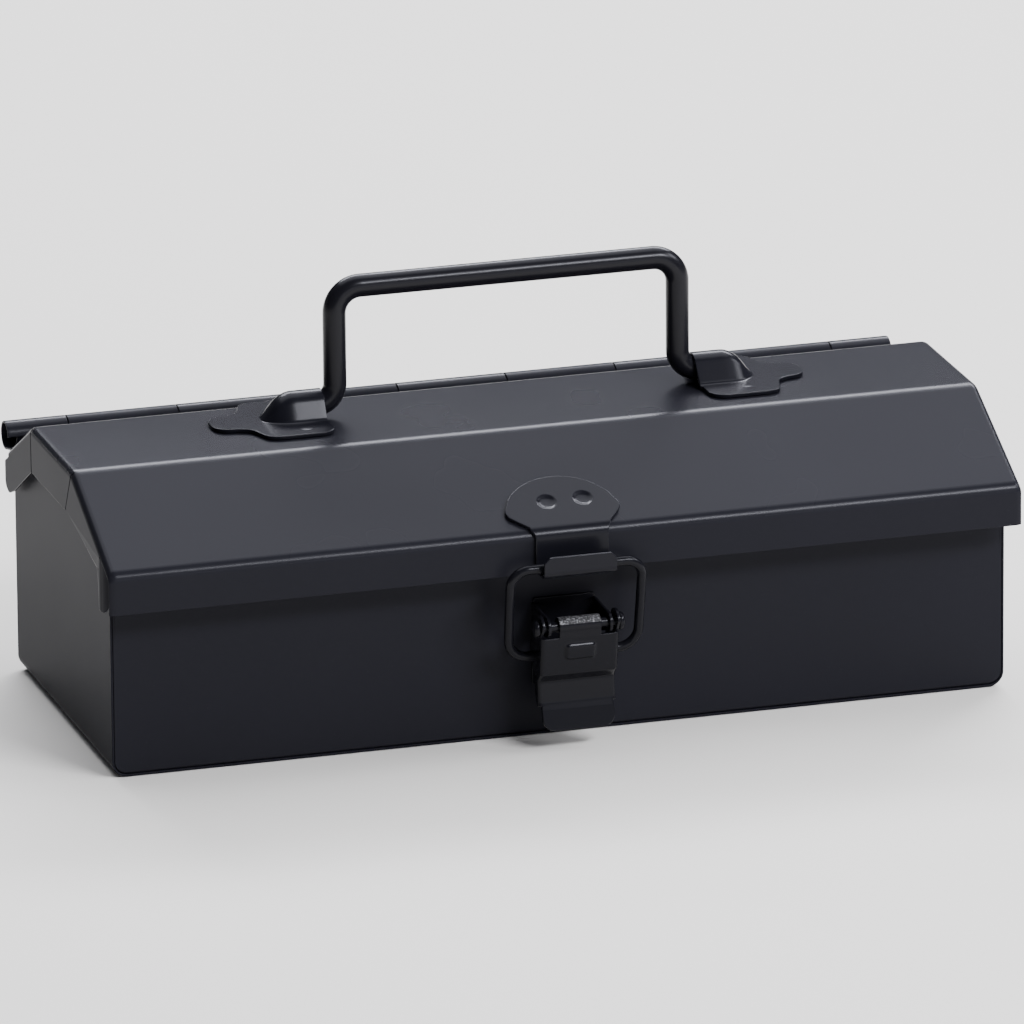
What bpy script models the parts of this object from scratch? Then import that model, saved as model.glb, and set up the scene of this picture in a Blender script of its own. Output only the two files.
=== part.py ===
"""Camber-top sheet-steel toolbox with a folding bar handle, one toggle latch and a lift-out tray.

Frame: +X to the right along the box's length, +Y to the back, +Z up. The origin is the centre of
the underside. Lengths below are millimetres until MM turns them into metres.
"""
from math import acos, atan2, cos, degrees, pi, radians, sin, sqrt

import bmesh
import bpy
from mathutils import Vector

MM = 0.001
OBJECT_NAME = "toolbox"

# ---------------------------------------------------------------- driving dimensions, millimetres
SHEET = 0.8                     # body, lid and tray steel
PLATE = 1.2                     # brackets, catch and lever steel
GAP = 0.3                       # left between parts that touch

BODY_X = 176.2                  # half length over the ends
BODY_Y = 68.5                   # half depth over front and back
BODY_BEND = 5.9                 # outer radius where the ends fold into the bottom
FRONT_TOP, BACK_TOP = 80.0, 85.5    # top edges of the front and back panels
PANEL_FLANGE = 4.0              # turned-in edge of the front and back panels

LID_X = 179.5                   # half length over the end flaps
LID_FRONT = -80.0               # outer face of the front skirt
SKIRT_BOTTOM, SKIRT_TOP = 67.4, 83.2
TOP_FRONT, TOP_BACK = -27.2, 31.9
TOP_Z = 108.3
BACK_SLOPE = 20.6 / 37.1        # drop over run of the lid's back slope
SLOPE_END = 66.5                # where the back slope stops, or turns into the hinge roll

HINGE_Y, HINGE_Z = 76.5, 91.5
ROLL_OUTER = 5.5
ROLL_INNER = ROLL_OUTER - SHEET
KNUCKLES = 9
HINGE_X = 177.8                 # half length of the rolled hinge
KNUCKLE_PITCH = 43.84
KNUCKLE_GAP = 0.2               # taken off each end of each knuckle
PIN_TUBE_OUTER, PIN_TUBE_WALL = 4.35, 1.0
PIN_TUBE_X = 174.0

HANDLE_X, HANDLE_Y, HANDLE_Z = 2.2, 8.0, 113.7     # middle of the handle's pivot axis
ROD = 4.45                      # handle rod radius
GRIP_Z = 159.4
LEG_X = 68.1
GRIP_BEND, FOOT_BEND = 10.0, 8.0
ROD_END = 84.0
MOUTH_X, HOOD_FULL_X, HOOD_TIP_X = 74.6, 84.5, 97.2
HOOD_HALF, HOOD_FALL = 6.0, 2.2

LATCH_X = 0.5
CATCH_HALF = 14.3
LIP_OUT, LIP_TOP, TROUGH_Z = -91.0, 77.2, 69.6
LEVER_PIN_Y, LEVER_PIN_Z = -88.0, 48.5
LEVER_HALF = 15.35
PIN_R, PIN_HEAD_R = 2.0, 3.4
EAR_HALF = 12.7
BAIL_Y, BAIL_Z = -79.5, 35.0    # the bail's pivot in the lever
BAIL_LENGTH, BAIL_LEAN = 37.3, radians(11.5)
BAIL_HALF, WIRE = 25.95, 1.85
BAIL_TOP_BEND, BAIL_FOOT_BEND = 7.0, 6.0

TRAY_X, TRAY_Y = 169.0, 58.5
TRAY_Z, TRAY_HEIGHT = 42.3, 33.0
TRAY_CORNER = 8.0
DIVIDER_X = 78.0


# ---------------------------------------------------------------- helpers
def clear_scene():
    for obj in list(bpy.data.objects):
        bpy.data.objects.remove(obj, do_unlink=True)


def collection(name):
    made = bpy.data.collections.new(name)
    bpy.context.scene.collection.children.link(made)
    return made


def material(name, colour, roughness, metallic):
    made = bpy.data.materials.new(name)
    made.use_nodes = True
    shader = made.node_tree.nodes["Principled BSDF"]
    shader.inputs["Base Color"].default_value = (*colour, 1.0)
    shader.inputs["Roughness"].default_value = roughness
    shader.inputs["Metallic"].default_value = metallic
    return made


def place(obj, parent, paint, smooth=35.0):
    """Puts an object into the toolbox under a parent empty, keeping where it is."""
    for holder in list(obj.users_collection):
        holder.objects.unlink(obj)
    PARTS.objects.link(obj)
    bpy.context.view_layer.update()
    world = obj.matrix_world.copy()
    obj.parent = parent
    obj.matrix_parent_inverse = parent.matrix_world.inverted()
    obj.matrix_world = world
    obj.data.materials.clear()
    obj.data.materials.append(paint)
    if obj.type == "MESH":
        obj.data.shade_smooth()
        obj.data.set_sharp_from_angle(angle=radians(smooth))
    return obj


def pivot(name, x, y, z, parent=None):
    """An empty on a joint's axis; the pieces of one moving body hang under it."""
    made = bpy.data.objects.new(name, None)
    made.empty_display_size = 0.02
    made.location = Vector((x, y, z)) * MM
    PARTS.objects.link(made)
    if parent:
        bpy.context.view_layer.update()
        made.parent = parent
        made.matrix_parent_inverse = parent.matrix_world.inverted()
    bpy.context.view_layer.update()
    return made


class Surface:
    """An open sheet made face by face from named corners; equal corners are one vertex."""

    def __init__(self):
        self.mesh = bmesh.new()
        self.corners = {}

    def corner(self, point):
        key = tuple(round(value, 5) for value in point)
        if key not in self.corners:
            self.corners[key] = self.mesh.verts.new(Vector(point) * MM)
        return self.corners[key]

    def face(self, points):
        corners = []
        for point in points:
            vert = self.corner(point)
            if vert not in corners:
                corners.append(vert)
        if len(corners) > 2:
            self.mesh.faces.new(corners)

    def strip(self, first, second):
        """Quads between two lines of points."""
        for a, b, c, d in zip(first, first[1:], second[1:], second):
            self.face([a, b, c, d])

    def finish(self, name, thickness, outward, even=True):
        """Turns the sheet into a solid; outward is a point that its first face looks towards."""
        bmesh.ops.recalc_face_normals(self.mesh, faces=self.mesh.faces[:])
        self.mesh.faces.ensure_lookup_table()
        first = self.mesh.faces[0]
        if first.normal.dot(Vector(outward) * MM - first.calc_center_median()) < 0:
            bmesh.ops.reverse_faces(self.mesh, faces=self.mesh.faces[:])
        data = bpy.data.meshes.new(name)
        self.mesh.to_mesh(data)
        self.mesh.free()
        obj = bpy.data.objects.new(name, data)
        bpy.context.scene.collection.objects.link(obj)
        shell = obj.modifiers.new("Sheet", "SOLIDIFY")
        shell.thickness = thickness * MM
        shell.offset = -1.0
        shell.use_even_offset = even
        return obj


def arc(centre, radius, start, end, steps):
    """Points on a circle in any flat pair of coordinates, angles in degrees."""
    turns = [radians(start + (end - start) * i / steps) for i in range(steps + 1)]
    return [(centre[0] + radius * cos(a), centre[1] + radius * sin(a)) for a in turns]


def fillet(before, corner, after, radius, steps):
    """The arc that rounds a corner between two straight runs."""
    p, q, r = Vector(before), Vector(corner), Vector(after)
    to_p, to_r = (p - q).normalized(), (r - q).normalized()
    half = to_p.angle(to_r) / 2
    reach = radius / sin(half) * cos(half)
    middle = q + (to_p + to_r).normalized() * radius / sin(half)
    first, last = q + to_p * reach - middle, q + to_r * reach - middle
    return [tuple(middle + first.slerp(last, i / steps).normalized() * radius) for i in range(steps + 1)]


def outline_of(points, radii, steps=4):
    """A closed outline whose corners are rounded by the radii given."""
    made = []
    count = len(points)
    for i, (point, radius) in enumerate(zip(points, radii)):
        if radius:
            made += fillet(points[i - 1], point, points[(i + 1) % count], radius, steps)
        else:
            made.append(point)
    return made


def path_of(points, radii, steps=4):
    """An open path in space whose inner corners are rounded by the radii given."""
    made = [points[0]]
    for before, corner, after, radius in zip(points, points[1:], points[2:], radii):
        made += fillet(before, corner, after, radius, steps)
    return made + [points[-1]]


def wire(name, points, radius, resolution):
    """A round bar along a path, as a welded mesh."""
    data = bpy.data.curves.new(name, "CURVE")
    data.dimensions = "3D"
    data.bevel_depth = radius * MM
    data.bevel_resolution = resolution
    data.use_fill_caps = True
    spline = data.splines.new("POLY")
    spline.points.add(len(points) - 1)
    for target, point in zip(spline.points, points):
        target.co = (*(Vector(point) * MM), 1.0)
    curve = bpy.data.objects.new(name + "_path", data)
    bpy.context.scene.collection.objects.link(curve)
    graph = bpy.context.evaluated_depsgraph_get()
    mesh = bpy.data.meshes.new_from_object(curve.evaluated_get(graph))
    welding = bmesh.new()
    welding.from_mesh(mesh)
    bmesh.ops.remove_doubles(welding, verts=welding.verts[:], dist=1e-6)
    welding.to_mesh(mesh)
    welding.free()
    mesh.name = name
    obj = bpy.data.objects.new(name, mesh)
    bpy.context.scene.collection.objects.link(obj)
    obj.matrix_world = curve.matrix_world
    bpy.data.objects.remove(curve, do_unlink=True)
    return obj


def turned(name, profile, steps, ring=False):
    """A solid of revolution about Z from (radius, height) points, outer side from top to bottom."""
    data = bpy.data.meshes.new(name)
    build = bmesh.new()
    verts = [build.verts.new(Vector((radius, 0.0, height)) * MM) for radius, height in profile]
    for a, b in zip(verts, verts[1:]):
        build.edges.new((a, b))
    if ring:
        build.edges.new((verts[-1], verts[0]))
    build.to_mesh(data)
    build.free()
    obj = bpy.data.objects.new(name, data)
    bpy.context.scene.collection.objects.link(obj)
    screw = obj.modifiers.new("Turn", "SCREW")
    screw.steps = screw.render_steps = steps
    screw.use_merge_vertices = True
    screw.merge_threshold = 1e-6
    return obj


def cut(obj, cutter):
    """Takes the cutter out of the object."""
    for holder in list(cutter.users_collection):
        holder.objects.unlink(cutter)
    CUTTERS.objects.link(cutter)
    cutter.hide_render = True
    cutter.display_type = "WIRE"
    boolean = obj.modifiers.new(cutter.name, "BOOLEAN")
    boolean.operation = "DIFFERENCE"
    boolean.solver = "EXACT"
    boolean.object = cutter


def rod_cutter(name, x, y, z, radius, length, sides=20):
    bpy.ops.mesh.primitive_cylinder_add(vertices=sides, radius=radius * MM, depth=length * MM,
                                        location=Vector((x, y, z)) * MM,
                                        rotation=(0.0, pi / 2, 0.0))
    made = bpy.context.object
    made.name = name
    return made


def knuckle_spans(owner):
    """Start and end of each hinge knuckle that the lid (0) or the body (1) owns."""
    inner = KNUCKLE_PITCH * (KNUCKLES - 2) / 2
    ends = [-HINGE_X] + [-inner + KNUCKLE_PITCH * i for i in range(KNUCKLES - 1)] + [HINGE_X]
    spans = []
    for index in range(owner, KNUCKLES, 2):
        low = ends[index] + (KNUCKLE_GAP if index else 0.0)
        high = ends[index + 1] - (KNUCKLE_GAP if index < KNUCKLES - 1 else 0.0)
        spans.append((low, high))
    return spans


def tangent_angle(y, z, radius, side):
    """Direction in degrees from the hinge centre to where a line from (y, z) touches a circle."""
    away_y, away_z = y - HINGE_Y, z - HINGE_Z
    distance = sqrt(away_y ** 2 + away_z ** 2)
    return degrees(atan2(away_z, away_y) + side * acos(radius / distance))


# ---------------------------------------------------------------- body
def body_wrap():
    """The bottom and both gable ends, one sheet folded into a U."""
    under_lid = 1.5 + SHEET
    gable = [(-BODY_Y, FRONT_TOP + 1.0),
             (TOP_FRONT + 1.0, TOP_Z - under_lid),
             (TOP_BACK - 1.0, TOP_Z - under_lid),
             (SLOPE_END - 2.0, TOP_Z - under_lid - BACK_SLOPE * (SLOPE_END - TOP_BACK - 1.0)),
             (BODY_Y, BACK_TOP + 0.6)]
    sheet = Surface()
    for side in (-1, 1):
        foot = [(BODY_X - BODY_BEND, BODY_BEND)]
        bend = [(side * x, z) for x, z in arc(foot[0], BODY_BEND, -90, 0, 6)]
        sheet.strip([(x, -BODY_Y, z) for x, z in bend], [(x, BODY_Y, z) for x, z in bend])
        end = [(side * BODY_X, -BODY_Y, BODY_BEND)]
        end += [(side * BODY_X, y, z) for y, z in gable]
        end += [(side * BODY_X, BODY_Y, BODY_BEND)]
        sheet.face(end)
    flat = BODY_X - BODY_BEND
    sheet.face([(-flat, -BODY_Y, 0), (flat, -BODY_Y, 0), (flat, BODY_Y, 0), (-flat, BODY_Y, 0)])
    return sheet.finish("body_wrap", SHEET, (-BODY_X - 50, 0, -20))


def panel_outline():
    """Front and back panels in X and Z, fitting inside the wrap."""
    half = BODY_X - SHEET - GAP
    bend = BODY_BEND - SHEET - GAP
    low = SHEET + GAP
    right = arc((half - bend, low + bend), bend, -90, 0, 5)
    left = arc((-half + bend, low + bend), bend, 180, 270, 5)
    return half, left, right


def body_front_panel():
    """The front, a pan whose edges turn inwards against the wrap."""
    half, left, right = panel_outline()
    rim = [(-half, FRONT_TOP)] + left + right + [(half, FRONT_TOP)]
    sheet = Surface()
    sheet.face([(x, -BODY_Y, z) for x, z in rim])
    loop = rim + rim[:1]
    sheet.strip([(x, -BODY_Y, z) for x, z in loop],
                [(x, -BODY_Y + PANEL_FLANGE, z) for x, z in loop])
    return sheet.finish("body_front_panel", SHEET, (0, -BODY_Y - 500, 40))


def body_back_panel():
    """The back, with the knuckles that roll over the hinge's pin tube."""
    half, left, right = panel_outline()
    stops = [x for span in knuckle_spans(1) for x in span]
    top = [(x, BACK_TOP) for x in [half] + stops[::-1] + [-half]]
    sheet = Surface()
    sheet.face([(x, BODY_Y, z) for x, z in left + right + top])
    edge = [top[-1]] + left + right + [top[0]]
    sheet.strip([(x, BODY_Y, z) for x, z in edge], [(x, BODY_Y - PANEL_FLANGE, z) for x, z in edge])
    touch = tangent_angle(BODY_Y, BACK_TOP, ROLL_INNER, -1)
    roll = [(BODY_Y, BACK_TOP)] + arc((HINGE_Y, HINGE_Z), ROLL_INNER, touch % 360, -110, 18)
    for low, high in knuckle_spans(1):
        sheet.strip([(low, y, z) for y, z in roll], [(high, y, z) for y, z in roll])
    return sheet.finish("body_back_panel", SHEET, (0, BODY_Y + 500, 40))


def hinge_pin():
    """A tube through all the knuckles."""
    inner = PIN_TUBE_OUTER - PIN_TUBE_WALL
    pin = turned("hinge_pin", [(PIN_TUBE_OUTER, PIN_TUBE_X), (PIN_TUBE_OUTER, -PIN_TUBE_X),
                               (inner, -PIN_TUBE_X), (inner, PIN_TUBE_X)], 24, ring=True)
    pin.rotation_euler = (0.0, pi / 2, 0.0)
    pin.location = Vector((0.0, HINGE_Y, HINGE_Z)) * MM
    return pin


def tray_rest(name, side):
    """An angle inside one end that the tray sits on."""
    wall = side * (BODY_X - SHEET - GAP)
    top = TRAY_Z - GAP
    reach, drop, half = 14.0, 12.0, 48.0
    sheet = Surface()
    lines = [(wall, top - drop), (wall, top), (wall - side * reach, top)]
    sheet.strip([(x, -half, z) for x, z in lines], [(x, half, z) for x, z in lines])
    return sheet.finish(name, SHEET, (wall + side * 10, 0, top))


# ---------------------------------------------------------------- lid
def lid_shell():
    """Skirt, slopes, top, end flaps and the lid's hinge knuckles, folded from one sheet."""
    slope_z = TOP_Z - BACK_SLOPE * (SLOPE_END - TOP_BACK)
    profile = [(LID_FRONT, SKIRT_BOTTOM), (LID_FRONT, SKIRT_TOP), (TOP_FRONT, TOP_Z),
               (TOP_BACK, TOP_Z), (SLOPE_END, slope_z)]
    touch = tangent_angle(SLOPE_END, slope_z, ROLL_INNER, 1)
    tail = [(SLOPE_END, slope_z)] + arc((HINGE_Y, HINGE_Z), ROLL_INNER, touch % 360 - 360, 175, 18)
    spans = knuckle_spans(0)
    stops = sorted({x for span in spans for x in span} | {-LID_X, LID_X})
    sheet = Surface()
    for low, high in zip(stops, stops[1:]):
        sheet.strip([(low, y, z) for y, z in profile], [(high, y, z) for y, z in profile])
    for low, high in spans:
        sheet.strip([(low, y, z) for y, z in tail], [(high, y, z) for y, z in tail])
    slit = 0.3
    front_flap = outline_of([(TOP_FRONT, TOP_Z), (LID_FRONT, SKIRT_TOP), (-78.7, 65.0),
                             (-68.2, 65.0), (-63.5, 81.5), (-18.8, 90.8)],
                            [0, 0, 3, 3, 2, 0])
    top_flap = [(TOP_BACK, TOP_Z), (TOP_FRONT, TOP_Z), (-18.8 + 2 * slit, 90.5), (TOP_BACK - slit, 90.5)]
    back_end = 68.8
    back_flap = outline_of([(SLOPE_END, slope_z), (TOP_BACK, TOP_Z), (TOP_BACK + slit, 90.0),
                            (back_end - 3.0, 70.5), (back_end, 76.0),
                            (back_end, slope_z - BACK_SLOPE * (back_end - SLOPE_END))],
                           [0, 0, 0, 3, 3, 0])
    for side in (-1, 1):
        for flap in (front_flap, top_flap, back_flap):
            sheet.face([(side * LID_X, y, z) for y, z in flap])
    return sheet.finish("lid_shell", SHEET, (0, LID_FRONT - 500, 75))


def handle_bracket(name, side):
    """A pressed plate with the hood that one foot of the handle turns in."""
    base = TOP_Z + GAP + PLATE
    axis = HANDLE_Z - base
    steps = 10
    arch = [(-HOOD_HALF, 0.0)] + arc((0.0, axis), HOOD_HALF, 180, 0, steps) + [(HOOD_HALF, 0.0)]
    stations = [(MOUTH_X, 1.0), (HOOD_FULL_X, 1.0)]
    for i in range(1, 8):
        stations.append((HOOD_FULL_X + (HOOD_TIP_X - HOOD_FULL_X) * i / 7, 1.0 - (i / 7) ** HOOD_FALL))

    def at(x, y, z=0.0):
        return (HANDLE_X + side * x, HANDLE_Y + y, base + z)

    rings = [[at(x, y * size, z * size) for y, z in arch] for x, size in stations]
    sheet = Surface()
    for near, far in zip(rings, rings[1:]):
        sheet.strip(near, far)
    front = [at(x, -HOOD_HALF * size) for x, size in stations]
    back = [at(x, HOOD_HALF * size) for x, size in stations[:-1]]
    half_wide, half_tongue, tip = 22.5, 9.0, 117.5
    edge = outline_of([(MOUTH_X - 1.4, 0.0), (MOUTH_X - 1.4, half_wide), (100.5, half_wide),
                       (104.0, half_tongue), (tip, half_tongue), (tip, -half_tongue),
                       (104.0, -half_tongue), (100.5, -half_wide), (MOUTH_X - 1.4, -half_wide)],
                      [0, 6, 4, 5, 7, 7, 5, 4, 6])[1:]
    round_plate = [at(x, y) for x, y in edge]
    sheet.face(front + back[::-1] + [at(MOUTH_X - 1.4, HOOD_HALF + 0.6)] + round_plate
               + [at(MOUTH_X - 1.4, -HOOD_HALF - 0.6)])
    return sheet.finish(name, PLATE, (HANDLE_X + side * MOUTH_X, HANDLE_Y - 90, base + 5), even=False)


def catch_plate():
    """The fan on the lid's front slope that folds down into the hook."""
    rise, run = TOP_Z - SKIRT_TOP, TOP_FRONT - LID_FRONT
    length = sqrt(rise ** 2 + run ** 2)
    up_y, up_z = run / length, rise / length
    lift = GAP + PLATE
    front = LID_FRONT - lift
    fold = SKIRT_TOP + lift * (1.0 - up_z) / up_y

    def on_slope(x, along):
        return (LATCH_X + x, front + along * up_y, fold + along * up_z)

    cap = arc((0.0, 6.4), 23.9, 17, 163, 16)
    fan = [(-CATCH_HALF, 0.0), (CATCH_HALF, 0.0), (21.9, 9.9)] + cap + [(-21.9, 9.9)]
    sheet = Surface()
    sheet.face([on_slope(x, along) for x, along in fan])
    chamfer = 2.3
    run_down = [(front, fold), (front, TROUGH_Z + 1.5), (front - 1.5, TROUGH_Z),
                (LIP_OUT + 1.2, TROUGH_Z), (LIP_OUT, TROUGH_Z + 1.2), (LIP_OUT, LIP_TOP - chamfer)]
    low, high = LATCH_X - CATCH_HALF, LATCH_X + CATCH_HALF
    sheet.strip([(low, y, z) for y, z in run_down], [(high, y, z) for y, z in run_down])
    sheet.face([(low, LIP_OUT, LIP_TOP - chamfer), (high, LIP_OUT, LIP_TOP - chamfer),
                (high - chamfer, LIP_OUT, LIP_TOP), (low + chamfer, LIP_OUT, LIP_TOP)])
    return sheet.finish("catch_plate", PLATE, (0, -500, 300))


# ---------------------------------------------------------------- handle
def handle_bar():
    """The bent rod, with its feet turned out into the brackets."""
    half = [(ROD_END, HANDLE_Z), (LEG_X, HANDLE_Z), (LEG_X, GRIP_Z)]
    corners = half + [(-x, z) for x, z in half[::-1]]
    points = [(HANDLE_X + x, HANDLE_Y, z) for x, z in corners]
    radii = [FOOT_BEND, GRIP_BEND, GRIP_BEND, FOOT_BEND]
    return wire("handle_bar", path_of(points, radii, 7), ROD, 4)


# ---------------------------------------------------------------- latch
def latch_base():
    """The plate on the body's front, with two ears for the lever's pin."""
    face = -BODY_Y - GAP
    low, high, half = 20.0, 54.5, EAR_HALF
    sheet = Surface()
    left, right = LATCH_X - half, LATCH_X + half
    ear_low, ear_high = LEVER_PIN_Z - 9.0, LEVER_PIN_Z + 5.0
    step = 0.6
    fold = [ear_low, ear_low + step, ear_high - step, ear_high]
    heights = [low, ear_low - step] + fold + [ear_high + step, high]
    sheet.strip([(left, face, z) for z in heights], [(right, face, z) for z in heights])
    ear = arc((LEVER_PIN_Y, LEVER_PIN_Z), 3.9, -75, -285, 10) + [(face, z) for z in fold[::-1]]
    for x in (left, right):
        sheet.face([(x, y, z) for y, z in ear])
    base = sheet.finish("latch_base", PLATE, (0, 500, 20))
    cut(base, rod_cutter("pin_hole_cutter", LATCH_X, LEVER_PIN_Y, LEVER_PIN_Z, PIN_R + 0.25, 60))
    for name, z in (("rivet_hole_cutter_lower", 25.0), ("rivet_hole_cutter_upper", 35.5)):
        hole = rod_cutter(name, 0.0, 0.0, 0.0, 1.8, 8)
        hole.rotation_euler = (pi / 2, 0.0, 0.0)
        hole.location = Vector((LATCH_X, face, z)) * MM
        cut(base, hole)
    return base


def latch_rivet(name, z):
    """A domed rivet through the base plate, closing on the front panel."""
    face = BODY_Y + GAP + PLATE
    rivet = turned(name, [(0.0, 1.4), (1.6, 1.1), (2.7, 0.2), (2.7, 0.0), (1.5, 0.0),
                          (1.5, -PLATE - GAP + 0.15), (0.0, -PLATE - GAP + 0.15)], 16)
    rivet.rotation_euler = (pi / 2, 0.0, 0.0)
    rivet.location = Vector((LATCH_X, -face - 0.15, z)) * MM
    return rivet


def latch_pin():
    """The lever's pin, headed at both ends."""
    reach, head = LEVER_HALF + 0.4, 2.4
    pin = turned("latch_pin", [(0.0, reach + head), (2.2, reach + head), (PIN_HEAD_R, reach + 1.2),
                               (PIN_HEAD_R, reach), (PIN_R, reach), (PIN_R, -reach),
                               (PIN_HEAD_R, -reach), (PIN_HEAD_R, -reach - 1.2),
                               (2.2, -reach - head), (0.0, -reach - head)], 20)
    pin.rotation_euler = (0.0, pi / 2, 0.0)
    pin.location = Vector((LATCH_X, LEVER_PIN_Y, LEVER_PIN_Z)) * MM
    return pin


def latch_lever():
    """The lever: a pressed channel, its tongue curled over the pin."""
    face = [(-91.1, 44.6), (-88.0, 31.0), (-86.3, 27.5), (-85.6, 17.0), (-87.0, 13.0), (-89.6, 8.3)]
    tongue_half, half = 8.2, LEVER_HALF
    curl = PIN_R + 0.35 + PLATE
    wrap = arc((LEVER_PIN_Y, LEVER_PIN_Z), curl, 205, -60, 12)
    sheet = Surface()
    columns = [-half, -tongue_half, tongue_half, half]
    for low, high in zip(columns, columns[1:]):
        sheet.strip([(LATCH_X + low, y, z) for y, z in face[:-1]],
                    [(LATCH_X + high, y, z) for y, z in face[:-1]])
    corner = 3.5
    y0, z0 = face[-2]
    y1, z1 = face[-1]
    sheet.face([(LATCH_X + x, y, z) for x, y, z in
                [(-half, y0, z0), (-tongue_half, y0, z0), (tongue_half, y0, z0), (half, y0, z0),
                 (half, (y0 + y1) / 2, (z0 + z1) / 2), (half - corner, y1, z1),
                 (-half + corner, y1, z1), (-half, (y0 + y1) / 2, (z0 + z1) / 2)]])
    tongue = [face[0]] + wrap
    sheet.strip([(LATCH_X - tongue_half, y, z) for y, z in tongue],
                [(LATCH_X + tongue_half, y, z) for y, z in tongue])
    flank = face[:4]
    eye = arc((LEVER_PIN_Y, LEVER_PIN_Z), 5.2, 150, 10, 8)
    back = [(BAIL_Y + 3.6, 38.0), (BAIL_Y + 3.8, 34.0), (BAIL_Y + 1.5, 31.0)]
    cheek = flank + back[::-1] + eye[::-1]
    for x in (-half, half):
        sheet.face([(LATCH_X + x, y, z) for y, z in cheek])
    lever = sheet.finish("latch_lever", PLATE, (0, -500, 40))
    cut(lever, rod_cutter("lever_pin_cutter", LATCH_X, LEVER_PIN_Y, LEVER_PIN_Z, PIN_R + 0.25, 60))
    cut(lever, rod_cutter("lever_bail_cutter", LATCH_X, BAIL_Y, BAIL_Z, WIRE + 0.25, 60))
    return lever


def bail_wire():
    """The wire loop from the lever up into the hook."""
    foot_in = LEVER_HALF - PLATE - 1.0

    def at(x, along):
        return (LATCH_X + x, BAIL_Y - along * sin(BAIL_LEAN), BAIL_Z + along * cos(BAIL_LEAN))

    half = [(foot_in, 0.0), (BAIL_HALF, 0.0), (BAIL_HALF, BAIL_LENGTH)]
    corners = half + [(-x, along) for x, along in half[::-1]]
    radii = [BAIL_FOOT_BEND, BAIL_TOP_BEND, BAIL_TOP_BEND, BAIL_FOOT_BEND]
    return wire("bail_wire", path_of([at(x, a) for x, a in corners], radii, 6), WIRE, 3)


# ---------------------------------------------------------------- tray
def tray_pan():
    """The lift-out pan with rounded corners."""
    corners = [(TRAY_X, -TRAY_Y), (TRAY_X, TRAY_Y), (-TRAY_X, TRAY_Y), (-TRAY_X, -TRAY_Y)]
    rim = outline_of(corners, [TRAY_CORNER] * 4, 5)
    sheet = Surface()
    sheet.face([(x, y, TRAY_Z) for x, y in rim])
    loop = rim + rim[:1]
    sheet.strip([(x, y, TRAY_Z) for x, y in loop], [(x, y, TRAY_Z + TRAY_HEIGHT) for x, y in loop])
    return sheet.finish("tray_pan", SHEET, (0, 0, TRAY_Z - 500))


def tray_divider(name, x):
    """A cross wall with a foot, standing in the pan."""
    half = TRAY_Y - SHEET - GAP
    low = TRAY_Z + SHEET + GAP
    sheet = Surface()
    lines = [(x + 8.0, low + SHEET), (x, low + SHEET), (x, TRAY_Z + TRAY_HEIGHT - 5.0)]
    sheet.strip([(a, -half, z) for a, z in lines], [(a, half, z) for a, z in lines])
    return sheet.finish(name, SHEET, (x + 4.0, 0, 500))


def tray_handle():
    """A strap across the pan, its ends turned down inside the walls."""
    half = TRAY_Y - SHEET - GAP
    foot = TRAY_Z + TRAY_HEIGHT - 16.0
    top = TRAY_Z + TRAY_HEIGHT + 17.0
    path = path_of([(-half, foot), (-half, TRAY_Z + TRAY_HEIGHT - 2.0), (-24.0, top), (24.0, top),
                    (half, TRAY_Z + TRAY_HEIGHT - 2.0), (half, foot)], [5, 12, 12, 5], 4)
    width = 8.0
    sheet = Surface()
    sheet.strip([(-width, y, z) for y, z in path], [(width, y, z) for y, z in path])
    strap = sheet.finish("tray_handle", 1.5, (0, -500, foot))
    for side in (-1, 1):
        hole = rod_cutter("strap_hole_cutter", 0.0, 0.0, 0.0, 1.8, 8)
        hole.rotation_euler = (pi / 2, 0.0, 0.0)
        hole.location = Vector((0.0, side * half, foot + 6.0)) * MM
        cut(strap, hole)
    return strap


def tray_rivet(name, side):
    """A domed rivet inside the pan that holds one end of the strap."""
    inner = TRAY_Y - SHEET - GAP - 1.5
    rivet = turned(name, [(0.0, 1.6), (1.6, 1.3), (2.8, 0.3), (2.8, 0.0), (1.5, 0.0),
                          (1.5, -1.5 - 0.3), (0.0, -1.5 - 0.3)], 16)
    rivet.rotation_euler = (side * pi / 2, 0.0, 0.0)
    rivet.location = Vector((0.0, side * (inner - 0.15), TRAY_Z + TRAY_HEIGHT - 10.0)) * MM
    return rivet


# ---------------------------------------------------------------- assembly
clear_scene()
PARTS = collection(OBJECT_NAME)
CUTTERS = collection("cutters")

lid_pivot = pivot("lid_pivot", 0.0, HINGE_Y, HINGE_Z)
handle_pivot = pivot("handle_pivot", HANDLE_X, HANDLE_Y, HANDLE_Z, lid_pivot)
lever_pivot = pivot("lever_pivot", LATCH_X, LEVER_PIN_Y, LEVER_PIN_Z)
bail_pivot = pivot("bail_pivot", LATCH_X, BAIL_Y, BAIL_Z, lever_pivot)
body_base = pivot("body_base", 0.0, 0.0, 0.0)
tray_base = pivot("tray_base", 0.0, 0.0, TRAY_Z)

BLACK = (0.030, 0.031, 0.038)


def black(name, roughness=0.42, metallic=0.25):
    return material(name, BLACK, roughness, metallic)


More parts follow.
